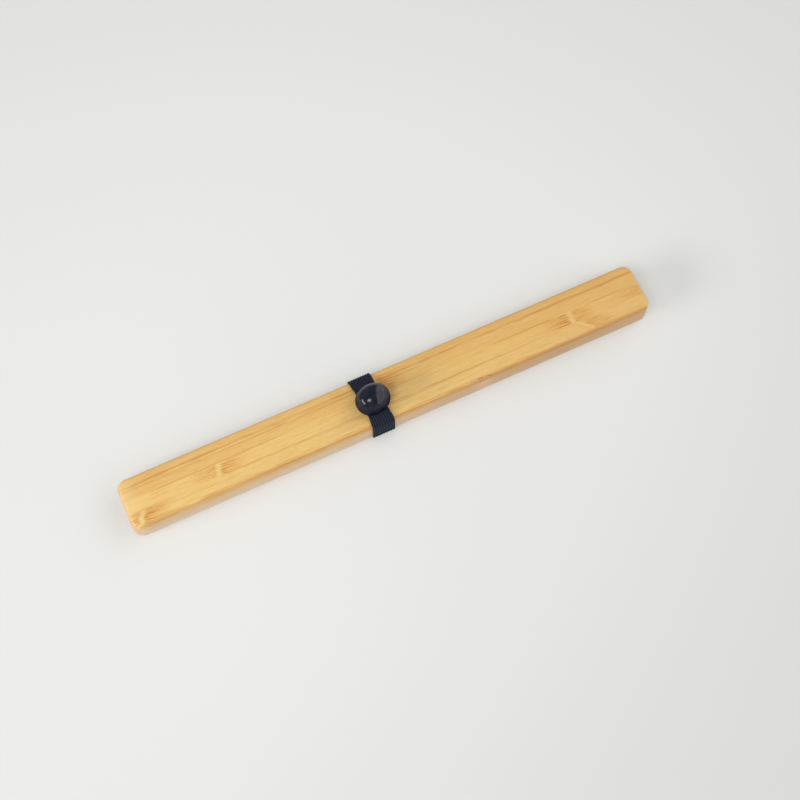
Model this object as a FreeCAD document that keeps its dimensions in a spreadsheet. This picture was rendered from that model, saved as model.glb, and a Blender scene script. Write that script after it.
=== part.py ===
"""Slim bamboo chopstick case: tray, lid, two chopsticks, ribbed elastic band and a slide bead.

Millimetres. +X runs along the case, +Y to its back long side, +Z up. The origin is on the
surface that the case stands on, under its middle, so the band's underside is at Z = 0.
"""
import FreeCAD, Part
import Sketcher
import math
import os

V = FreeCAD.Vector

# Driving sizes: name, value in mm (or a count), meaning
SIZES = [
    ("stick_length", 225, "chopstick, end to end"),
    ("stick_size", 5.8, "square handle end, across the flats"),
    ("stick_bevel", 0.7, "bevel along a stick's four edges, which makes its tip eight-sided"),
    ("tip_size", 2.4, "tip, across the flats"),
    ("stick_end_ease", 0.5, "eased edges of both stick ends"),
    ("stick_end_gap", 2.5, "stick end to pocket end"),
    ("stick_side_gap", 0.3, "stick to pocket side"),
    ("stick_spacing", 4.6, "free width between the two handles"),
    ("stick_rest_gap", 0.1, "stick to pocket floor"),
    ("stick_headroom", 0.3, "stick to the lid's tongue"),
    ("side_wall", 3.0, "long walls of the tray"),
    ("end_wall", 5.0, "end walls of the tray"),
    ("tray_floor", 2.0, "floor of the tray"),
    ("pocket_corner", 3.0, "corner radius of the pocket, a router bit's"),
    ("case_corner", 4.5, "corner radius of the case in plan"),
    ("tray_edge_round", 1.0, "rounding of the tray's bottom edge"),
    ("lid_thickness", 2.5, "lid above the seam"),
    ("lid_edge_round", 2.0, "rounding of the lid's top edge"),
    ("seam_ease", 0.25, "eased edges that meet at the seam"),
    ("tongue_depth", 1.0, "tongue under the lid, into the pocket"),
    ("tongue_gap", 0.2, "tongue to pocket wall"),
    ("band_width", 10.0, "elastic band, lying flat"),
    ("band_neck", 9.4, "elastic band squeezed in the bead's slot"),
    ("band_thickness", 0.8, "elastic band over its ribs"),
    ("rib_relief", 0.3, "depth of the grooves between ribs"),
    ("rib_crown", 0.5, "flat crown of a rib, across"),
    ("rib_count", 9, "ribs along the band"),
    ("band_gap", 0.1, "band to case"),
    ("band_offset", 8.4, "band's middle to the left of the case's middle"),
    ("bead_side_wall", 2.5, "bead beside its slot, at its widest"),
    ("bead_length", 12.7, "bead along the band"),
    ("bead_steps", 20, "turned bands along the bead"),
    ("bead_base_drop", 5.0, "bead's widest level above its flat base"),
    ("bead_shift", 1.8, "bead's middle in front of the case's middle"),
    ("bead_rest_gap", 0.1, "bead's base to lid"),
    ("bead_base_ease", 0.5, "eased edge of the bead's flat base"),
    ("base_margin", 7.5, "cutter that flattens the base, past the bead all round"),
    ("slot_floor", 0.9, "bead under its slot"),
    ("slot_side_gap", 0.2, "slot to band edge"),
    ("slot_gap", 0.3, "slot to band face"),
    ("slot_corner", 0.5, "corner radius of the slot"),
]

# Sizes that follow from the driving ones
DERIVED = [
    ("pocket_length", "=stick_length + 2 * stick_end_gap"),
    ("pocket_width", "=2 * (stick_size + stick_side_gap) + stick_spacing"),
    ("pocket_depth", "=stick_rest_gap + stick_size + stick_headroom + tongue_depth"),
    ("case_length", "=pocket_length + 2 * end_wall"),
    ("case_width", "=pocket_width + 2 * side_wall"),
    ("tray_height", "=tray_floor + pocket_depth"),
    ("tray_level", "=band_thickness + band_gap"),
    ("lid_level", "=tray_level + tray_height"),
    ("lid_top", "=lid_level + lid_thickness"),
    ("stick_offset", "=(stick_spacing + stick_size) / 2"),
    ("slot_width", "=band_neck + 2 * slot_side_gap"),
    ("slot_height", "=band_thickness + 2 * slot_gap"),
    ("slot_drop", "=bead_base_drop - slot_floor - slot_height / 2"),
    ("bead_diameter", "=slot_width + 2 * bead_side_wall"),
    ("bead_level", "=lid_top + bead_rest_gap + bead_base_drop"),
]

doc = FreeCAD.newDocument("chopstick_case")


# The sheet of sizes

def make_sheet():
    sheet = doc.addObject("Spreadsheet::Sheet", "Sizes")
    rows = SIZES + [(name, formula, "follows from the sizes above") for name, formula in DERIVED]
    for row, (name, value, meaning) in enumerate(rows, 1):
        sheet.set(f"A{row}", name)
        sheet.set(f"B{row}", str(value))
        sheet.set(f"C{row}", meaning)
        sheet.setAlias(f"B{row}", name)
    doc.recompute()
    return sheet


SHEET = make_sheet()


def size(name):
    return float(SHEET.get(name))


def bind(feature, **formulas):
    """Tie properties to the sheet. A double underscore stands for the dot in a property's path."""
    for path, formula in formulas.items():
        feature.setExpression(path.replace("__", "."), formula)


# Shared steps for the bodies

def new_body(name):
    body = doc.addObject("PartDesign::Body", name)
    body.Label = name
    return body


def new_sketch(body, name, role):
    plane = next(item for item in body.Origin.OriginFeatures if item.Role == role)
    sketch = body.newObject("Sketcher::SketchObject", name)
    sketch.AttachmentSupport = [(plane, "")]
    sketch.MapMode = "FlatFace"
    return sketch


def rounded_rectangle(sketch, length, width, corner):
    """Draw a rectangle with round corners, centred on the sketch."""
    a, b, r = 10.0, 6.0, 2.0
    corners = [(a, -b, -90), (a, b, 0), (-a, b, 90), (-a, -b, 180)]
    ends = []
    for x, y, start in corners:
        centre = V(x - math.copysign(r, x), y - math.copysign(r, y), 0)
        circle = Part.Circle(centre, V(0, 0, 1), r)
        ends.append(Part.ArcOfCircle(circle, math.radians(start), math.radians(start + 90)))
    sides = []
    for i in range(4):
        before, after = ends[i - 1], ends[i]
        sides.append(Part.LineSegment(before.EndPoint, after.StartPoint))
    side = [sketch.addGeometry(line, False) for line in sides]
    arc = [sketch.addGeometry(end, False) for end in ends]
    add = adder(sketch)
    for i in range(4):
        add("Tangent", side[i], 2, arc[i], 1)
        add("Tangent", arc[i], 2, side[(i + 1) % 4], 1)
    add("Horizontal", side[2])
    add("Vertical", side[3])
    for i in (1, 2, 3):
        add("Equal", arc[0], arc[i])
    add("Symmetric", side[0], 1, side[0], 2, -2)
    add("Symmetric", side[1], 1, side[1], 2, -1)
    for name, formula, kind, *what in (
            ("length", length, "DistanceX", side[3], 1, side[1], 1, 2 * a),
            ("width", width, "DistanceY", side[0], 1, side[2], 1, 2 * b),
            ("corner", corner, "Radius", arc[0], r)):
        number = add(kind, *what)
        sketch.renameConstraint(number, name)
        sketch.setExpression("Constraints." + name, formula)


def adder(sketch):
    """A short way to add a constraint to a sketch: its kind, then what it holds."""
    def add(kind, *what):
        return sketch.addConstraint(Sketcher.Constraint(kind, *what))
    return add


def edges_on(feature, axis, level):
    """Names of the edges of a feature that lie wholly in one plane across an axis."""
    names = []
    for number, edge in enumerate(feature.Shape.Edges, 1):
        box = edge.BoundBox
        low, high = getattr(box, axis + "Min"), getattr(box, axis + "Max")
        if abs(low - level) < 1e-4 and abs(high - level) < 1e-4:
            names.append(f"Edge{number}")
    return names


def dress(body, kind, name, base, edges, formula):
    """Add a fillet or a chamfer to the named edges of a feature."""
    feature = body.newObject("PartDesign::" + kind, name)
    feature.Base = (base, edges)
    bind(feature, **{"Radius" if kind == "Fillet" else "Size": formula})
    doc.recompute()
    return feature


# Tray: a bar of laminated bamboo with a routed pocket

def make_tray():
    body = new_body("tray")
    outline = new_sketch(body, "TrayOutline", "XY_Plane")
    rounded_rectangle(outline, "Sizes.case_length", "Sizes.case_width", "Sizes.case_corner")
    bar = body.newObject("PartDesign::Pad", "TrayBar")
    bar.Profile = outline
    bind(bar, Length="Sizes.tray_height")
    doc.recompute()
    foot = dress(body, "Fillet", "TrayFootRound", bar, edges_on(bar, "Z", 0), "Sizes.tray_edge_round")
    dress(body, "Chamfer", "TraySeamEase", foot, edges_on(foot, "Z", size("tray_height")), "Sizes.seam_ease")

    mouth = new_sketch(body, "PocketMouth", "XY_Plane")
    bind(mouth, AttachmentOffset__Base__z="Sizes.tray_height")
    rounded_rectangle(mouth, "Sizes.pocket_length", "Sizes.pocket_width", "Sizes.pocket_corner")
    pocket = body.newObject("PartDesign::Pocket", "StickPocket")
    pocket.Profile = mouth
    bind(pocket, Length="Sizes.pocket_depth")
    bind(body, Placement__Base__z="Sizes.tray_level")
    return body


# Lid: a thin bar with a well rounded top edge and a tongue that seats in the pocket

def make_lid():
    body = new_body("lid")
    outline = new_sketch(body, "LidOutline", "XY_Plane")
    rounded_rectangle(outline, "Sizes.case_length", "Sizes.case_width", "Sizes.case_corner")
    bar = body.newObject("PartDesign::Pad", "LidBar")
    bar.Profile = outline
    bind(bar, Length="Sizes.lid_thickness")
    doc.recompute()
    crown = dress(body, "Fillet", "LidTopRound", bar,
                  edges_on(bar, "Z", size("lid_thickness")), "Sizes.lid_edge_round")
    dress(body, "Chamfer", "LidSeamEase", crown, edges_on(crown, "Z", 0), "Sizes.seam_ease")

    under = new_sketch(body, "TongueOutline", "XY_Plane")
    rounded_rectangle(under, "Sizes.pocket_length - 2 * Sizes.tongue_gap",
                      "Sizes.pocket_width - 2 * Sizes.tongue_gap",
                      "Sizes.pocket_corner - Sizes.tongue_gap")
    tongue = body.newObject("PartDesign::Pad", "LidTongue")
    tongue.Profile = under
    tongue.Reversed = True
    bind(tongue, Length="Sizes.tongue_depth")
    bind(body, Placement__Base__z="Sizes.lid_level")
    return body


# Chopsticks: square at the handle, eight-sided at the tip, lying on one flat side

def make_chopstick(name, side):
    body = new_body(name)
    taper = body.newObject("PartDesign::AdditiveWedge", name + "_taper")
    taper.Placement = FreeCAD.Placement(V(), FreeCAD.Rotation(V(0, 0, 1), 90))
    bind(taper, Ymin="-Sizes.stick_length / 2", Ymax="Sizes.stick_length / 2",
         Xmin="-Sizes.stick_size / 2", Xmax="Sizes.stick_size / 2", Zmin="0 mm", Zmax="Sizes.stick_size",
         X2min="-Sizes.tip_size / 2", X2max="Sizes.tip_size / 2", Z2min="0 mm", Z2max="Sizes.tip_size")
    doc.recompute()
    half = size("stick_length") / 2
    at_ends = edges_on(taper, "X", half) + edges_on(taper, "X", -half)
    long_edges = [f"Edge{i}" for i in range(1, len(taper.Shape.Edges) + 1) if f"Edge{i}" not in at_ends]
    bevelled = dress(body, "Chamfer", name + "_bevels", taper, long_edges, "Sizes.stick_bevel")
    ends = edges_on(bevelled, "X", half) + edges_on(bevelled, "X", -half)
    dress(body, "Chamfer", name + "_ends", bevelled, ends, "Sizes.stick_end_ease")
    bind(body, Placement__Base__y=f"{side} * Sizes.stick_offset",
         Placement__Base__z="Sizes.tray_level + Sizes.tray_floor + Sizes.stick_rest_gap")
    return body


# Bead: a turned oval, wider than long, with a flat base and a low slot for the band

def draw_turned_oval(sketch, steps):
    """Half of an oval in short straight cuts, closed by a line on the sketch's upright axis."""
    radius, half = size("bead_diameter") / 2, size("bead_length") / 2
    angles = [-90 + 180 * i / steps for i in range(steps + 1)]
    points = [V(radius * math.cos(math.radians(a)), half * math.sin(math.radians(a)), 0) for a in angles]
    cuts = [sketch.addGeometry(Part.LineSegment(p, q), False) for p, q in zip(points, points[1:])]
    axis = sketch.addGeometry(Part.LineSegment(points[-1], points[0]), False)
    add = adder(sketch)
    for cut, following in zip(cuts, cuts[1:] + [axis]):
        add("Coincident", cut, 2, following, 1)
    add("Coincident", axis, 2, cuts[0], 1)
    for i, angle in enumerate(angles):
        line, end = (cuts[i], 1) if i < steps else (axis, 1)
        if 0 < i < steps:
            across = add("DistanceX", -1, 1, line, end, points[i].x)
            sketch.setExpression(f"Constraints[{across}]", f"Sizes.bead_diameter / 2 * cos({angle})")
        else:
            add("PointOnObject", line, end, -2)
        if 2 * i == steps:
            add("PointOnObject", line, end, -1)
        else:
            first, last = ((-1, 1), (line, end)) if angle > 0 else ((line, end), (-1, 1))
            along = add("DistanceY", *first, *last, abs(points[i].y))
            sketch.setExpression(f"Constraints[{along}]", f"Sizes.bead_length / 2 * sin({abs(angle)})")


def make_bead():
    body = new_body("bead")
    profile = new_sketch(body, "BeadProfile", "XY_Plane")
    draw_turned_oval(profile, round(size("bead_steps")))
    ball = body.newObject("PartDesign::Revolution", "BeadBall")
    ball.Profile = profile
    ball.ReferenceAxis = (profile, ["V_Axis"])
    ball.Angle = 360

    under = new_sketch(body, "BeadBase", "XY_Plane")
    bind(under, AttachmentOffset__Base__z="-Sizes.bead_base_drop")
    cutter = "Sizes.bead_diameter + 2 * Sizes.base_margin"
    rounded_rectangle(under, cutter, cutter, "Sizes.base_margin")
    base = body.newObject("PartDesign::Pocket", "BeadFlatBase")
    base.Profile = under
    base.Type = "ThroughAll"
    doc.recompute()
    dress(body, "Chamfer", "BeadBaseEase", base, edges_on(base, "Z", -size("bead_base_drop")),
          "Sizes.bead_base_ease")

    mouth = new_sketch(body, "SlotMouth", "XZ_Plane")
    bind(mouth, AttachmentOffset__Base__y="-Sizes.slot_drop")
    rounded_rectangle(mouth, "Sizes.slot_width", "Sizes.slot_height", "Sizes.slot_corner")
    slot = body.newObject("PartDesign::Pocket", "BandSlot")
    slot.Profile = mouth
    slot.Type = "ThroughAll"
    slot.Midplane = True
    bind(body, Placement__Base__x="-Sizes.band_offset", Placement__Base__y="-Sizes.bead_shift",
         Placement__Base__z="Sizes.bead_level")
    return body


# Elastic band: one ribbed loop, flat round the case and squeezed through the bead's slot

def ribbed_section(width, y, z, heading):
    """Band's section at a point of its mid line. Heading is the band's direction, in degrees from +Y to +Z.

    The outer face has a flat crown and two flanks for each rib, and the inner face is flat.
    """
    outward = V(0, -math.sin(math.radians(heading)), math.cos(math.radians(heading)))
    half = size("band_thickness") / 2
    count = round(size("rib_count"))
    pitch = width / count
    valley = half - size("rib_relief")

    def at(across, out):
        return V(across, y, z) + outward * out

    flank = (pitch - size("rib_crown") * width / size("band_width")) / 2
    outline = [at(-width / 2, -half)]
    for i in range(count):
        start = -width / 2 + i * pitch
        outline += [at(start, valley), at(start + flank, half), at(start + pitch - flank, half)]
    outline += [at(width / 2, valley), at(width / 2, -half), outline[0]]
    return Part.makePolygon(outline)


def band_turns():
    """Centres and radii of the four bends of the band's mid line round the case, back to front."""
    off = size("band_gap") + size("band_thickness") / 2
    lid_round, foot_round = size("lid_edge_round"), size("tray_edge_round")
    lid_y, lid_z = size("case_width") / 2 - lid_round, size("lid_top") - lid_round
    foot_y, foot_z = size("case_width") / 2 - foot_round, size("tray_level") + foot_round
    return [(lid_y, lid_z, lid_round + off), (foot_y, foot_z, foot_round + off),
            (-foot_y, foot_z, foot_round + off), (-lid_y, lid_z, lid_round + off)]


def lift_off(turn, mouth, side):
    """Angle round a bend, in degrees from +Y, where a tight band leaves it for the slot's mouth."""
    dy, dz = mouth[0] - turn[0], mouth[1] - turn[1]
    opening = math.degrees(math.acos(turn[2] / math.hypot(dy, dz)))
    return math.degrees(math.atan2(dz, dy)) - side * opening


def on_turn(turn, angle):
    return V(0, turn[0] + turn[2] * math.cos(math.radians(angle)),
             turn[1] + turn[2] * math.sin(math.radians(angle)))


def make_band():
    width, neck = size("band_width"), size("band_neck")
    radius = size("bead_diameter") / 2
    lip = size("slot_drop") + size("slot_height") / 2
    reach = size("bead_length") / 2 * math.sqrt(1 - (lip / radius) ** 2)
    slot_z = size("bead_level") - size("slot_drop")
    back_mouth = (reach - size("bead_shift"), slot_z)
    front_mouth = (-reach - size("bead_shift"), slot_z)

    turns = band_turns()
    leave_back = lift_off(turns[0], back_mouth, 1)
    leave_front = lift_off(turns[3], front_mouth, -1)
    sweeps = [(leave_back, 0), (0, -90), (-90, -180), (-180, leave_front - 360)]
    edges = []
    for turn, (start, end) in zip(turns, sweeps):
        if edges:
            edges.append(Part.makeLine(edges[-1].lastVertex().Point, on_turn(turn, start)))
        arc = Part.Arc(on_turn(turn, start), on_turn(turn, (start + end) / 2), on_turn(turn, end))
        edges.append(arc.toShape())
    spine = Part.Wire(edges)

    lift = on_turn(turns[0], leave_back)
    land = on_turn(turns[3], leave_front)
    flat_back = ribbed_section(width, lift.y, lift.z, leave_back + 90)
    flat_front = ribbed_section(width, land.y, land.z, leave_front + 90)
    neck_back = ribbed_section(neck, *back_mouth, 180)
    neck_front = ribbed_section(neck, *front_mouth, 180)

    wrap = spine.makePipeShell([flat_back], True, False)
    rise = Part.makeLoft([flat_back, neck_back], True, True)
    fall = Part.makeLoft([neck_front, flat_front], True, True)
    through = Part.makeLoft([neck_back, neck_front], True, True)
    loop = wrap.fuse([rise, through, fall]).removeSplitter()

    band = doc.addObject("Part::Feature", "elastic_band")
    band.Label = "elastic_band"
    band.Shape = loop.Solids[0] if len(loop.Solids) == 1 else loop
    band.Placement = FreeCAD.Placement(V(-size("band_offset"), 0, 0), FreeCAD.Rotation())
    return band


def check(parts):
    """Stop if a feature failed, or if a piece isn't one valid solid."""
    for item in doc.Objects:
        if "Invalid" in item.State or "Error" in item.State:
            raise RuntimeError(f"{item.Name} failed: {item.State}")
    for part in parts:
        shape = part.Shape
        if shape.isNull() or not shape.isValid() or len(shape.Solids) != 1:
            raise RuntimeError(f"{part.Label} isn't one valid solid")


def main():
    parts = [make_tray(), make_lid(), make_chopstick("chopstick_front", -1),
             make_chopstick("chopstick_back", 1), make_bead(), make_band()]
    doc.recompute()
    check(parts)
    os.makedirs("parts", exist_ok=True)
    for part in parts:
        part.Shape.exportStep(f"parts/{part.Label}.step")
        box = part.Shape.BoundBox
        print(f"{part.Label:16s} {part.Shape.Volume:9.1f} mm3  "
              f"x {box.XMin:8.2f} {box.XMax:8.2f}  y {box.YMin:7.2f} {box.YMax:7.2f}  "
              f"z {box.ZMin:6.2f} {box.ZMax:6.2f}")


main()
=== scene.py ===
"""Looks of the slim bamboo case: laminated bamboo, a ribbed elastic band and a glossy oval bead.

The CAD tray, lid and chopsticks keep their meshes and get a bamboo material. The band and the
bead are rebuilt with finer meshes in the same places.
"""
import bpy
import bmesh
import math
from mathutils import Matrix, Vector


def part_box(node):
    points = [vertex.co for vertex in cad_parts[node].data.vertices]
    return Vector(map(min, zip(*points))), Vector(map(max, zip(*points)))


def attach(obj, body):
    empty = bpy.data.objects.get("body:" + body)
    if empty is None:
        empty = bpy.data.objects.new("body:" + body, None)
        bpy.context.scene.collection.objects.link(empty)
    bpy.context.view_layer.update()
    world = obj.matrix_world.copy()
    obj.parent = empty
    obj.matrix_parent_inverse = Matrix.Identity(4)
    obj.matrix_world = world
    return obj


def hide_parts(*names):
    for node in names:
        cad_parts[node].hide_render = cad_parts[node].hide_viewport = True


MM = 0.001
X, Y, Z = range(3)
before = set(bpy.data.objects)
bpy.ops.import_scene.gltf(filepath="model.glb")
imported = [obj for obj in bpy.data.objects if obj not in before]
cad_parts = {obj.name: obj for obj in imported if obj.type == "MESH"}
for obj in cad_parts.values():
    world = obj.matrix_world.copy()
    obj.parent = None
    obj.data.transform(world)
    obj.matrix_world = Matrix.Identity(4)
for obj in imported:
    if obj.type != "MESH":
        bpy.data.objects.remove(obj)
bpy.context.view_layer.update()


def span(node, axis):
    """Lowest and highest place of a CAD node along one axis, in mm."""
    return [round(corner[axis] / MM, 2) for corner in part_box(node)]


# Sizes in mm: the case
CASE_END, CASE_SIDE = span("tray", X)[1], span("lid", Y)[1]
TRAY_LEVEL, LID_TOP = span("tray", Z)[0], span("lid", Z)[1]
LID_ROUND, FOOT_ROUND = 2.0, 1.0

# The band, which leans by BAND_SKEW as it crosses the case
BAND_LEFT, BAND_RIGHT = span("elastic_band", X)
BAND_X, BAND_WIDTH = (BAND_LEFT + BAND_RIGHT) / 2, BAND_RIGHT - BAND_LEFT
BAND_NECK, BAND_SKEW = 9.4, -0.047
BAND_GAP = 0.1
BAND_THICK = span("elastic_band", Y)[1] - CASE_SIDE - BAND_GAP
RIBS, RIB_DEPTH = 9, 0.3

# The bead, drawn a little longer than the CAD solid and turned by BEAD_TURN degrees
BEAD_FRONT, BEAD_BACK = span("bead", Y)
BEAD_Y, BEAD_HALF = (BEAD_FRONT + BEAD_BACK) / 2, (BEAD_BACK - BEAD_FRONT) / 2
BEAD_RADIUS = span("bead", X)[1] - BAND_X
BEAD_DROP = 5.0
BEAD_Z = span("bead", Z)[0] + BEAD_DROP
BEAD_SWELL, BEAD_TURN = 1.027, 5.0
SLOT_FLOOR, SLOT_WIDTH, SLOT_HEIGHT, SLOT_CORNER = 0.9, 9.8, 1.4, 0.5
SLOT_Z = BEAD_Z - BEAD_DROP + SLOT_FLOOR + SLOT_HEIGHT / 2


def srgb(red, green, blue):
    """A colour given as it looks on screen, 0 to 255, as the linear values that shaders use."""
    def linear(level):
        level /= 255
        return level / 12.92 if level <= 0.04045 else ((level + 0.055) / 1.055) ** 2.4

    return (linear(red), linear(green), linear(blue), 1.0)


# Shader nodes, and sockets that take Python's arithmetic

def add_node(tree, kind, settings, sockets):
    """A shader node of one kind: first its settings, then the value or the link of each socket."""
    made = tree.nodes.new(kind)
    for name, setting in settings.items():
        setattr(made, name, setting)
    for name, item in sockets.items():
        if isinstance(item, Value):
            tree.links.new(item.socket, made.inputs[name])
        elif isinstance(item, bpy.types.NodeSocket):
            tree.links.new(item, made.inputs[name])
        else:
            made.inputs[name].default_value = item
    return made


class Value:
    """A number that varies over a surface: the output socket of a shader node."""

    def __init__(self, tree, socket):
        self.tree, self.socket = tree, socket

    def maths(self, operation, *inputs):
        """What a Math node makes of its inputs, each a value or a number."""
        made = add_node(self.tree, "ShaderNodeMath", {"operation": operation}, dict(enumerate(inputs)))
        return Value(self.tree, made.outputs[0])

    def __add__(self, other):
        return self.maths("ADD", self, other)

    def __sub__(self, other):
        return self.maths("SUBTRACT", self, other)

    def __mul__(self, other):
        return self.maths("MULTIPLY", self, other)

    def __truediv__(self, other):
        return self.maths("DIVIDE", self, other)

    def __abs__(self):
        return self.maths("ABSOLUTE", self)

    def sine(self):
        return self.maths("SINE", self)

    def cosine(self):
        return self.maths("COSINE", self)

    def root(self):
        return self.maths("SQRT", self)

    def step(self, low, high):
        """0 below low and 1 above high, smooth between them. Low may be the larger."""
        rising = low < high
        made = add_node(self.tree, "ShaderNodeMapRange", {"interpolation_type": "SMOOTHSTEP"}, {
            "Value": self, "From Min": min(low, high), "From Max": max(low, high),
            "To Min": 0.0 if rising else 1.0, "To Max": 1.0 if rising else 0.0})
        return Value(self.tree, made.outputs["Result"])

    def peak(self, centre, width):
        """1 at a centre, falling smoothly to 0 at a width either side."""
        return abs(self - centre).step(width, 0.0)


class Material:
    """A material with Object coordinates in mm, and short ways to add noise, mixes and relief."""

    def __init__(self, name, **settings):
        self.material = bpy.data.materials.new(name)
        self.material.use_nodes = True
        self.tree = self.material.node_tree
        self.shader = self.tree.nodes["Principled BSDF"]
        for key, value in settings.items():
            self.shader.inputs[key.replace("_", " ")].default_value = value
        coordinates = add_node(self.tree, "ShaderNodeTexCoord", {}, {})
        split = add_node(self.tree, "ShaderNodeSeparateXYZ", {}, {0: coordinates.outputs["Object"]})
        self.x, self.y, self.z = (Value(self.tree, split.outputs[i]) * 1000.0 for i in range(3))

    def noise(self, x, y, z, detail=2.0, roughness=0.5):
        """Noise of about 0 to 1, with features about one unit of x, y and z in size."""
        place = add_node(self.tree, "ShaderNodeCombineXYZ", {}, {0: x, 1: y, 2: z})
        made = add_node(self.tree, "ShaderNodeTexNoise", {}, {
            "Vector": place.outputs[0], "Scale": 1.0, "Detail": detail, "Roughness": roughness})
        return Value(self.tree, made.outputs["Fac"])

    def mix(self, factor, first, second):
        """A colour between two, each given as numbers or as a colour socket."""
        settings = {"data_type": "RGBA", "clamp_factor": True}
        made = add_node(self.tree, "ShaderNodeMix", settings, {0: factor, 6: first, 7: second})
        return made.outputs[2]

    def surface(self, **sockets):
        """Lead values or colours into sockets of the shader."""
        for name, item in sockets.items():
            source = item.socket if isinstance(item, Value) else item
            self.tree.links.new(source, self.shader.inputs[name.replace("_", " ")])

    def relief(self, height, distance):
        """Bump from a height of 0 to 1, over a distance in mm."""
        made = add_node(self.tree, "ShaderNodeBump", {}, {
            "Strength": 1.0, "Distance": distance * MM, "Height": height})
        self.surface(Normal=made.outputs[0])


# Laminated bamboo

STRIP_EDGES = (-10.8, -4.6, 1.4, 7.3)
# The first tone, in front of the first edge, is painted shade on the rounded front edge and under the front
# side; the others are the strips' own tones.
EDGE_SHADE_AND_STRIP_TONES = ((200, 153, 86), (227, 189, 118), (227, 187, 114), (222, 179, 106), (218, 173, 102))
# Dark fibre lines on the top, and at -10.9 and -10.3 bands of painted shade on the rounded front edge: place
# across the case, half width, strength, left end and right end
FIBRE_LINES_AND_EDGE_SHADE = (
    (7.0, 0.9, 0.55, -130, 130),
    (5.5, 0.5, 0.50, -125, 10),
    (-4.9, 0.5, 0.35, -60, 70),
    # Painted shade on the rounded front edge, towards the right.
    (-10.9, 0.6, 0.55, -20, 125),
    (1.0, 0.4, 0.30, 40, 80),
    # Painted shade along the whole rounded front edge.
    (-10.3, 1.1, 0.55, -140, 140),
    (-11.1, 0.35, 0.80, 55, 95),
    (-11.0, 0.35, 0.70, -65, -20),
    (-11.1, 0.30, 0.70, -116, -105),
)
# Joints of the bamboo, and at -4.0 and -3.5 a painted shadow of the bead drawn as joint streaks: middle
# along the case, lower and upper edge of the strip, then the length, strength and drop of the fan on the
# left and of the fan on the right, and the slant
KNUCKLES_AND_BEAD_SHADOW = (
    (-114.6, -10.6, -4.6, 9.0, 1.25, 0.5, 15.0, 1.30, 0.4, 0.5),
    (-78.2, -4.6, 1.4, 16.0, 0.80, 0.5, 14.0, 1.25, 1.0, 0.25),
    # A real joint whose strong right fan also paints the bead's shadow and bounce on the wood.
    (-4.0, 1.4, 9.0, 4.0, 0.60, 0.0, 17.0, 1.35, 1.0, 0.25),
    # Painted shadow of the bead, drawn as joint streaks.
    (-3.5, -3.6, 1.6, 1.0, 0.10, 0.0, 8.0, 1.30, 0.2, 0.1),
    (85.2, -4.6, 1.4, 15.0, 1.50, -0.5, 14.0, 1.10, 0.8, 0.0),
    (89.8, -10.4, -4.4, 4.0, 0.40, 0.3, 15.0, 1.05, 0.5, -1.1),
    (120.5, -4.6, 1.4, 20.0, 0.70, 0.3, 2.0, 0.1, 0.0, 0.0),
)
STREAK_PITCH = 1.05
# Where the yellow top zone ends on the side and the painted reflection of the floor begins, and the middle
# and half length of the scar in front
SIDE_TOP = 10.0
SCAR_X, SCAR_HALF = 39.0, 7.0

WOOD = {
    "cloud": srgb(232, 197, 130),
    "band": srgb(206, 154, 78),
    "dark fibre": srgb(198, 144, 70),
    "pale fibre": srgb(239, 208, 142),
    "grain": srgb(200, 148, 78),
    # Painted shade on the right half, away from the light.
    "painted shade on right half": srgb(206, 152, 78),
    "left end": srgb(236, 208, 150),
    "glue": srgb(186, 126, 48),
    # Brown of the fibre lines, also of the painted shade on the front edge.
    "line": srgb(184, 128, 56),
    # Browns of the joint streaks, also of the painted shadow beside the bead.
    "fan": srgb(205, 143, 60),
    "streak": srgb(181, 117, 42),
    "ridge": srgb(236, 203, 148),
    # Pale of the painted reflection of the floor on the sides.
    "side": srgb(220, 198, 170),
    "side band": srgb(192, 152, 106),
    "side fibre": srgb(186, 146, 100),
    "side at left end": srgb(186, 142, 104),
    # Painted shade on the front edge and front side, towards the right.
    "front": srgb(182, 130, 70),
    "scar": srgb(222, 184, 160),
    "fleck": srgb(112, 78, 40),
    "end grain": srgb(190, 158, 120),
}


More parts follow.
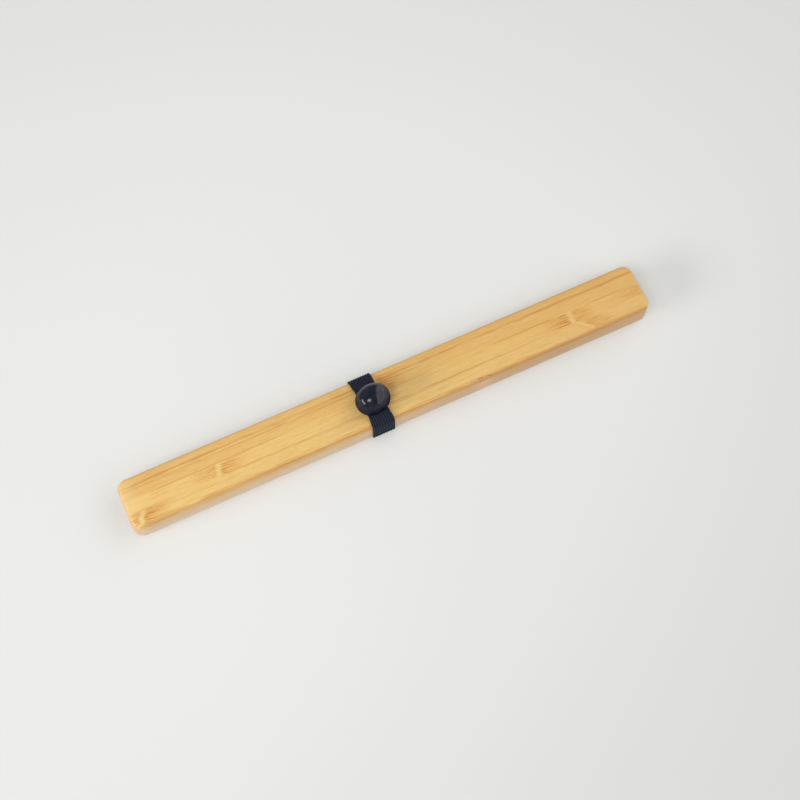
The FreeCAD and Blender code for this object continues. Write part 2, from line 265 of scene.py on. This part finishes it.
def bamboo(name, laminated=True):
    """Wood with long fibres, darker on its right half as painted shade. Laminated wood also has glued
    strips, joints, painted shade on the front edge and beside the bead, and sides paler with a painted
    reflection of the floor.
    """
    wood = Material(name, Coat_Weight=0.10, Coat_Roughness=0.25)
    x, y, z = wood.x, wood.y, wood.z
    drift = (wood.noise(x / 60, y / 30, z / 30, 1.0) - 0.5) * 0.9
    across = y + drift
    fibres = wood.noise(x / 9, across / 0.45, z / 0.45, 4.0, 0.62)
    bands = wood.noise(x / 90, across / 1.5, z / 1.5, 2.0, 0.55)
    clouds = wood.noise(x / 22, y / 5, z / 5, 2.0)
    grain = wood.noise(x / 2.5, across / 0.25, z / 0.25, 2.0)
    tone = lay_strips(wood, across) if laminated else srgb(*EDGE_SHADE_AND_STRIP_TONES[2])
    tone = wood.mix(clouds.step(0.35, 0.75) * 0.25, tone, WOOD["cloud"])
    tone = wood.mix(bands.step(0.50, 0.72) * 0.30, tone, WOOD["band"])
    tone = wood.mix(fibres.step(0.48, 0.72) * 0.50, tone, WOOD["dark fibre"])
    tone = wood.mix(fibres.step(0.46, 0.28) * 0.36, tone, WOOD["pale fibre"])
    tone = wood.mix(grain.step(0.50, 0.75) * 0.30, tone, WOOD["grain"])
    # Painted shade: the wood darkens towards the right, away from the light.
    tone = wood.mix(x.step(-10, 90) * 0.28, tone, WOOD["painted shade on right half"])
    if laminated:
        tone = draw_lines_and_edge_shade(wood, tone, across, fibres)
        tone = wood.mix(x.step(-CASE_END + 9, -CASE_END + 2) * 0.35, tone, WOOD["left end"])
        # Some rows paint the bead's shadow with the joint streaks.
        for knuckle in KNUCKLES_AND_BEAD_SHADOW:
            tone = draw_knuckle(wood, tone, across, knuckle)
        tone = shade_sides(wood, tone, bands, fibres)
    wood.surface(Base_Color=tone, Roughness=fibres * 0.14 + 0.36)
    wood.relief(fibres, 0.04)
    return wood.material


def lay_strips(wood, across):
    """Flat tones from the front edge to the back: painted shade on the rounded front edge, then the glued
    strips.
    """
    tone = srgb(*EDGE_SHADE_AND_STRIP_TONES[0])
    for edge, colour in zip(STRIP_EDGES, EDGE_SHADE_AND_STRIP_TONES[1:]):
        tone = wood.mix(across.step(edge - 0.12, edge + 0.12), tone, srgb(*colour))
    return tone


def draw_lines_and_edge_shade(wood, tone, across, fibres):
    """Patchy glue lines between the strips, and dark fibre lines and bands of painted shade on the front
    edge that fade out at both ends.
    """
    for edge in STRIP_EDGES:
        patchy = wood.noise(wood.x / 30, edge, 0.0, 2.0).step(0.40, 0.58)
        tone = wood.mix(across.peak(edge, 0.45) * patchy * 0.6, tone, WOOD["glue"])
    for place, half, strength, left, right in FIBRE_LINES_AND_EDGE_SHADE:
        reach = wood.x.step(left - 15, left + 15) * wood.x.step(right + 15, right - 15)
        shade = across.peak(place, half) * reach * (fibres.step(0.35, 0.60) * 0.7 + 0.3)
        # The same brown draws the fibre lines and the painted shade on the front edge.
        tone = wood.mix(shade * strength, tone, WOOD["line"])
    return tone


def draw_knuckle(wood, tone, across, knuckle):
    """A bamboo joint in one strip: a pale ridge, with brown streaks that fan out on both sides."""
    centre, low, high, left_reach, left, left_drop, right_reach, right, right_drop, slant = knuckle
    x = wood.x
    off_centre = across - (low + high) / 2
    inside = across.step(low - 0.1, low + 0.8) * across.step(high + 0.1, high - 0.8)
    wander = (wood.noise(across / 1.3, centre, 0.0, 3.0) - 0.5) * 4.0
    away_right = x + wander - off_centre * slant - centre
    away_left = away_right * -1.0
    jitter = (wood.noise(x / 5, across / 1.2, centre, 3.0) - 0.5) * 1.8
    spread = across + jitter + away_left.step(0.0, 9.0) * left_drop + away_right.step(0.0, 9.0) * right_drop
    streaks = ((spread * (2 * math.pi / STREAK_PITCH)).sine() * 0.5 + 0.5).step(0.30, 0.95)
    ragged = wood.noise(x / 9, across / 0.7, centre, 2.0).step(0.30, 0.60) * 0.7 + 0.3
    fan_left = away_left.step(left_reach, 0.5) * away_left.step(0.3, 2.0) * left
    fan_right = away_right.step(right_reach, 0.5) * away_right.step(0.3, 2.0) * right
    fan = (fan_left + fan_right) * inside * ragged
    tone = wood.mix(fan * 0.50, tone, WOOD["fan"])
    tone = wood.mix(fan * streaks * 0.62, tone, WOOD["streak"])
    uneven = wood.noise(x / 2, across / 1.1, centre, 2.0).step(0.30, 0.65)
    ridge = away_right.peak(0.0, 2.0) * inside * uneven
    return wood.mix(ridge * 0.26, tone, WOOD["ridge"])


def shade_sides(wood, tone, bands, fibres):
    """Sides paler below the yellow top zone with a painted reflection of the floor, painted shade on the
    front towards the right, a scar with dark flecks in front, and end grain.
    """
    x, y, z = wood.x, wood.y, wood.z
    below = z.step(SIDE_TOP + 0.4, SIDE_TOP - 0.4)
    side = below * z.step(0.9, 1.6)
    # Painted reflection and bounce of the pale floor on the sides, stronger low down.
    tone = wood.mix(side * (z.step(9.0, 1.0) * 0.3 + 0.4), tone, WOOD["side"])
    tone = wood.mix(side * bands.step(0.45, 0.70) * 0.35, tone, WOOD["side band"])
    tone = wood.mix(side * fibres.step(0.50, 0.75) * 0.30, tone, WOOD["side fibre"])
    left_end = side * x.step(-CASE_END + 3.5, -CASE_END + 1.5)
    tone = wood.mix(left_end * 0.55, tone, WOOD["side at left end"])
    # Painted shade on the front edge and front side, towards the right; the mask also places the scar.
    front = y.step(-CASE_SIDE + 1.5, -CASE_SIDE + 0.5) * x.step(-20, 50)
    tone = wood.mix(front * 0.50, tone, WOOD["front"])
    scar = x.peak(SCAR_X, SCAR_HALF)
    tone = wood.mix(scar * front * below * 0.5, tone, WOOD["scar"])
    flecks = wood.noise(x / 2.6, y / 0.5, 0.0, 1.0).step(0.52, 0.60) * z.step(SIDE_TOP - 0.2, SIDE_TOP + 0.6)
    tone = wood.mix(scar * flecks * y.peak(-CASE_SIDE + 0.7, 0.7) * 0.85, tone, WOOD["fleck"])
    end_grain = abs(x).step(CASE_END - 1.6, CASE_END - 0.2)
    return wood.mix(end_grain * 0.7, tone, WOOD["end grain"])


# Band and bead materials

def elastic():
    """Dark blue cloth with fine courses across the band, and a painted highlight on the crown of each rib.
    """
    cloth = Material("elastic", Roughness=0.85, Specular_IOR_Level=0.25)
    x, y, z = cloth.x, cloth.y, cloth.z
    course_pitch, rib_pitch = 0.5, BAND_WIDTH / RIBS
    course = ((y + z) * (2 * math.pi / course_pitch)).sine() * 0.5 + 0.5
    fuzz = cloth.noise(x / 0.15, y / 0.3, z / 0.3, 2.0)
    from_middle = x - BAND_X - (y - BEAD_Y) * BAND_SKEW
    crown = (from_middle * (2 * math.pi / rib_pitch)).cosine() * 0.5 + 0.5
    tone = cloth.mix(fuzz.step(0.3, 0.8), srgb(14, 17, 28), srgb(27, 32, 45))
    # Painted highlight along the crown of each rib.
    tone = cloth.mix(crown * 0.5, tone, srgb(41, 51, 68))
    cloth.surface(Base_Color=tone)
    cloth.relief(course * 0.4 + fuzz * 0.6, 0.03)
    return cloth.material


def gloss():
    """Near-black paint under a lacquer that is full on top and thin low down and on the right."""
    skin = Material("bead", Roughness=0.6, Specular_IOR_Level=0.0, Coat_IOR=1.45, Coat_Roughness=0.12)
    cloud = skin.noise(skin.x / 2, skin.y / 2, skin.z / 2, 2.0)
    tone = skin.mix(cloud.step(0.35, 0.7), srgb(11, 15, 30), srgb(25, 28, 43))
    crown = skin.z.step(BEAD_Z + 1.5, BEAD_Z + 5.5)
    left = skin.x.step(BAND_X - 3.0, BAND_X - 7.0)
    lacquer = (crown * 0.8 + left * 0.25 + 0.1) * (cloud * 0.5 + 0.75)
    skin.surface(Base_Color=tone, Coat_Weight=lacquer)
    return skin.material


# From a bmesh to an object

def new_object(mesh, name, *materials):
    data = bpy.data.meshes.new(name)
    mesh.to_mesh(data)
    mesh.free()
    for material in materials:
        data.materials.append(material)
    made = bpy.data.objects.new(name, data)
    bpy.context.scene.collection.objects.link(made)
    return made


def finish_piece(mesh, name, material, node):
    """Turn a bmesh into a smooth piece that stands for a CAD node."""
    bmesh.ops.recalc_face_normals(mesh, faces=mesh.faces[:])
    for face in mesh.faces:
        face.smooth = True
    piece = new_object(mesh, name, material)
    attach(piece, "root")
    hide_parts(node)
    return piece


# Band: one loop of ribbed elastic round the case and through the bead's slot

SLOT_STEPS, RUN_STEPS, TURN_STEPS = 14, 12, 10


def band_turns():
    """Centres and radii of the bends of the band's mid line round the case, back to front."""
    off = BAND_GAP + BAND_THICK / 2
    lid_y, lid_z = CASE_SIDE - LID_ROUND, LID_TOP - LID_ROUND
    foot_y, foot_z = CASE_SIDE - FOOT_ROUND, TRAY_LEVEL + FOOT_ROUND
    return [(lid_y, lid_z, LID_ROUND + off), (foot_y, foot_z, FOOT_ROUND + off),
            (-foot_y, foot_z, FOOT_ROUND + off), (-lid_y, lid_z, LID_ROUND + off)]


def lift_off(turn, mouth, side):
    """Angle round a bend, from +Y, where the tight band leaves it for the slot's mouth."""
    dy, dz = mouth[0] - turn[0], mouth[1] - turn[1]
    opening = math.acos(turn[2] / math.hypot(dy, dz))
    return math.atan2(dz, dy) - side * opening


def on_turn(turn, angle):
    return turn[0] + turn[2] * math.cos(angle), turn[1] + turn[2] * math.sin(angle)


def band_line():
    """Mid line of the band as (y, z, width), closed, with the slot's run first."""
    lip = BEAD_Z - SLOT_Z - SLOT_HEIGHT / 2
    overlap = 0.25
    reach = BEAD_HALF * math.sqrt(1 - (lip / BEAD_RADIUS) ** 2) - overlap
    back, front = (BEAD_Y + reach, SLOT_Z), (BEAD_Y - reach, SLOT_Z)
    turns = band_turns()
    leave = lift_off(turns[0], back, 1)
    land = lift_off(turns[3], front, -1)
    sweeps = [(leave, 0.0), (0.0, -math.pi / 2), (-math.pi / 2, -math.pi), (-math.pi, land - 2 * math.pi)]
    points = []

    def run(start, end, count, first, last):
        for i in range(count):
            t = i / count
            smooth = t * t * (3 - 2 * t)
            y, z = (a + (b - a) * t for a, b in zip(start, end))
            points.append((y, z, first + (last - first) * smooth))

    run(front, back, SLOT_STEPS, BAND_NECK, BAND_NECK)
    last, width = back, BAND_NECK
    for turn, (start, end) in zip(turns, sweeps):
        run(last, on_turn(turn, start), RUN_STEPS, width, BAND_WIDTH)
        width = BAND_WIDTH
        for i in range(TURN_STEPS):
            points.append((*on_turn(turn, start + (end - start) * i / TURN_STEPS), BAND_WIDTH))
        last = on_turn(turn, end)
    run(last, front, RUN_STEPS, BAND_WIDTH, BAND_NECK)
    return points


def band_section(width):
    """The band cut across, as (place, height) round its outline: ribs on top, flat inside."""
    steps_per_rib, inner_steps = 8, 12
    bulge, edge_depth = 0.7, 0.6
    section = []
    for k in range(RIBS * steps_per_rib + 1):
        t = k / steps_per_rib
        crown = math.sin(math.pi * (t % 1.0)) ** bulge if k % steps_per_rib else 0.0
        inward = min(t, RIBS - t, 0.5) * 2
        valley = RIB_DEPTH * (edge_depth + (1 - edge_depth) * inward)
        section.append((width * (t / RIBS - 0.5), BAND_THICK / 2 - valley * (1 - crown)))
    return section + [(width * (0.5 - k / inner_steps), -BAND_THICK / 2) for k in range(inner_steps + 1)]


def make_band():
    """A grid that is bent round the section one way and along the band's line the other way."""
    line = band_line()
    around = len(band_section(BAND_WIDTH))
    mesh = bmesh.new()
    bmesh.ops.create_grid(mesh, x_segments=around, y_segments=len(line), size=0.5)
    for vertex in mesh.verts:
        i = round((vertex.co.y + 0.5) * len(line)) % len(line)
        k = round((vertex.co.x + 0.5) * around) % around
        y, z, width = line[i]
        before, after = line[i - 1], line[(i + 1) % len(line)]
        dy, dz = after[0] - before[0], after[1] - before[1]
        length = math.hypot(dy, dz)
        across, height = band_section(width)[k]
        x = BAND_X + BAND_SKEW * (y - BEAD_Y) + across
        vertex.co = Vector((x, y - height * dz / length, z + height * dy / length)) * MM
    bmesh.ops.remove_doubles(mesh, verts=mesh.verts[:], dist=0.0001 * MM)
    return finish_piece(mesh, "band_of_elastic", elastic(), "elastic_band")


# Bead: a slightly squarish oval turned about the band's direction, flat where it rests on the lid

def make_bead():
    steps, turns, squareness = 72, 128, 2.13
    mesh = bmesh.new()
    outline = []
    for i in range(steps + 1):
        a = math.pi * i / steps - math.pi / 2
        y = math.copysign(abs(math.sin(a)) ** (2 / squareness), math.sin(a)) * BEAD_HALF
        r = max(math.cos(a), 0.0) ** (2 / squareness) * BEAD_RADIUS
        outline.append(mesh.verts.new((0.0 if i in (0, steps) else r, y, 0)))
    edges = [mesh.edges.new(pair) for pair in zip(outline, outline[1:])]
    bmesh.ops.spin(mesh, geom=outline + edges, cent=(0, 0, 0), axis=(0, 1, 0),
                   angle=2 * math.pi, steps=turns, use_merge=True)
    bmesh.ops.remove_doubles(mesh, verts=mesh.verts[:], dist=0.0001)
    bmesh.ops.scale(mesh, verts=mesh.verts[:], vec=(BEAD_SWELL, 1, 1))
    bmesh.ops.recalc_face_normals(mesh, faces=mesh.faces[:])
    cut = bmesh.ops.bisect_plane(mesh, geom=mesh.verts[:] + mesh.edges[:] + mesh.faces[:],
                                 plane_co=(0, 0, -BEAD_DROP), plane_no=(0, 0, -1), clear_outer=True)
    rim = [e for e in cut["geom_cut"] if isinstance(e, bmesh.types.BMEdge)]
    bmesh.ops.contextual_create(mesh, geom=rim)
    turn = Matrix.Rotation(math.radians(BEAD_TURN), 4, "Z")
    place = Matrix.Translation((BAND_X, BEAD_Y, BEAD_Z))
    bmesh.ops.transform(mesh, verts=mesh.verts[:], matrix=place @ turn)
    bmesh.ops.scale(mesh, verts=mesh.verts[:], vec=(MM, MM, MM))
    piece = finish_piece(mesh, "bead_of_gloss", gloss(), "bead")
    cut_slot(piece)
    piece.data.set_sharp_from_angle(angle=math.radians(35))
    return piece


def cut_slot(piece):
    """Cut the band's flat slot, with rounded corners, through the bead."""
    tool = bmesh.new()
    bmesh.ops.create_cube(tool, size=1.0)
    size = (SLOT_WIDTH * MM, 4 * BEAD_HALF * MM, SLOT_HEIGHT * MM)
    bmesh.ops.scale(tool, verts=tool.verts[:], vec=size)
    long_edges = [e for e in tool.edges if abs(e.verts[0].co.y - e.verts[1].co.y) > MM]
    bmesh.ops.bevel(tool, geom=long_edges, offset=SLOT_CORNER * MM, segments=4, profile=0.5,
                    affect="EDGES", material=-1)
    bmesh.ops.translate(tool, verts=tool.verts[:], vec=Vector((BAND_X, BEAD_Y, SLOT_Z)) * MM)
    cutter = new_object(tool, "slot_tool")
    boolean = piece.modifiers.new("slot", "BOOLEAN")
    boolean.operation, boolean.solver, boolean.object = "DIFFERENCE", "EXACT", cutter
    bpy.context.view_layer.update()
    result = bpy.data.meshes.new_from_object(piece.evaluated_get(bpy.context.evaluated_depsgraph_get()))
    piece.modifiers.clear()
    piece.data = result
    bpy.data.objects.remove(cutter)


# Materials on the CAD nodes

def paint(name, material):
    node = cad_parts[name]
    node.data.materials.clear()
    node.data.materials.append(material)
    node.data.shade_smooth()
    node.data.set_sharp_from_angle(angle=math.radians(30))


case_wood = bamboo("bamboo")
stick_wood = bamboo("chopstick_bamboo", laminated=False)
for part in ("tray", "lid"):
    paint(part, case_wood)
for part in ("chopstick_front", "chopstick_back"):
    paint(part, stick_wood)
make_band()
make_bead()


# Floor, light and camera, in metres

FLOOR_HALF = 20.0
CAMERA_AZIMUTH, CAMERA_ELEVATION = math.radians(-24.962), math.radians(68.553)
CAMERA_PLACE = (-0.09484, -0.21439, 0.60019)
FOCAL_PIXELS, PICTURE_PIXELS = 1500, 800


def make_floor():
    """A pale floor that glows a little as painted fill light, with painted shade that darkens it away from
    the case and towards the near right.
    """
    # The glow is painted fill light that lightens the shadows on the floor.
    floor = Material("floor", Roughness=0.6, Emission_Color=srgb(255, 255, 252), Emission_Strength=0.19)
    x, y = floor.x, floor.y
    distance = (x * x + y * y).root()
    # Painted shade: darker away from the case.
    tone = floor.mix(distance.step(90, 330), srgb(197, 197, 194), srgb(187, 186, 182))
    # Painted shade towards the near right.
    near_right_shade = x * 0.34 - y * 0.94
    tone = floor.mix(near_right_shade.step(0, 280) * 0.75, tone, srgb(176, 176, 172))
    floor.surface(Base_Color=tone)
    mesh = bmesh.new()
    bmesh.ops.create_grid(mesh, x_segments=1, y_segments=1, size=FLOOR_HALF)
    piece = new_object(mesh, "floor", floor.material)


def make_world(room, wall):
    """A dim room with a pale wall on its right, as one sky. The numbers are brightnesses."""
    world = bpy.data.worlds.new("studio")
    bpy.context.scene.world = world
    world.use_nodes = True
    tree = world.node_tree
    background = tree.nodes["Background"]
    background.inputs["Color"].default_value = (0.98, 0.99, 1.0, 1.0)
    coordinates = add_node(tree, "ShaderNodeTexCoord", {}, {})
    split = add_node(tree, "ShaderNodeSeparateXYZ", {}, {0: coordinates.outputs["Generated"]})
    x, y = (Value(tree, split.outputs[i]) for i in range(2))
    level = (x - y * 0.22).step(0.40, 0.50) * (wall - room) + room
    tree.links.new(level.socket, background.inputs["Strength"])


def add_light(name, place, size, watts, in_gloss=True):
    """A soft lamp that faces the case. One that isn't in the gloss has no reflection."""
    light = bpy.data.lights.new(name, "AREA")
    light.shape = "RECTANGLE"
    light.size, light.size_y = size
    light.energy = watts
    lamp = bpy.data.objects.new(name, light)
    lamp.visible_glossy = in_gloss
    lamp.location = place
    lamp.rotation_euler = (-Vector(place)).to_track_quat("-Z", "Y").to_euler()
    bpy.context.scene.collection.objects.link(lamp)


def make_camera():
    az, el = CAMERA_AZIMUTH, CAMERA_ELEVATION
    back = Vector((math.sin(az) * math.cos(el), -math.cos(az) * math.cos(el), math.sin(el)))
    right = Vector((math.cos(az), math.sin(az), 0.0))
    up = back.cross(right)
    optics = bpy.data.cameras.new("camera")
    optics.sensor_width = 36.0
    optics.lens = FOCAL_PIXELS / PICTURE_PIXELS * optics.sensor_width
    optics.clip_start, optics.clip_end = 0.01, 20.0
    camera = bpy.data.objects.new("camera", optics)
    turn = Matrix((right, up, back)).transposed().to_4x4()
    camera.matrix_world = Matrix.Translation(CAMERA_PLACE) @ turn
    bpy.context.scene.collection.objects.link(camera)
    bpy.context.scene.camera = camera


make_floor()
make_world(0.36, 1.65)
add_light("key", (-1.4, -1.02, 2.28), (1.15, 1.0), 24.0)
add_light("window", (-1.75, -0.08, 0.66), (0.8, 0.5), 17.5, in_gloss=False)
add_light("window_strip", (-1.75, -0.12, 0.62), (1.3, 0.32), 8.5)
make_camera()
bpy.context.scene.view_settings.view_transform = "Standard"
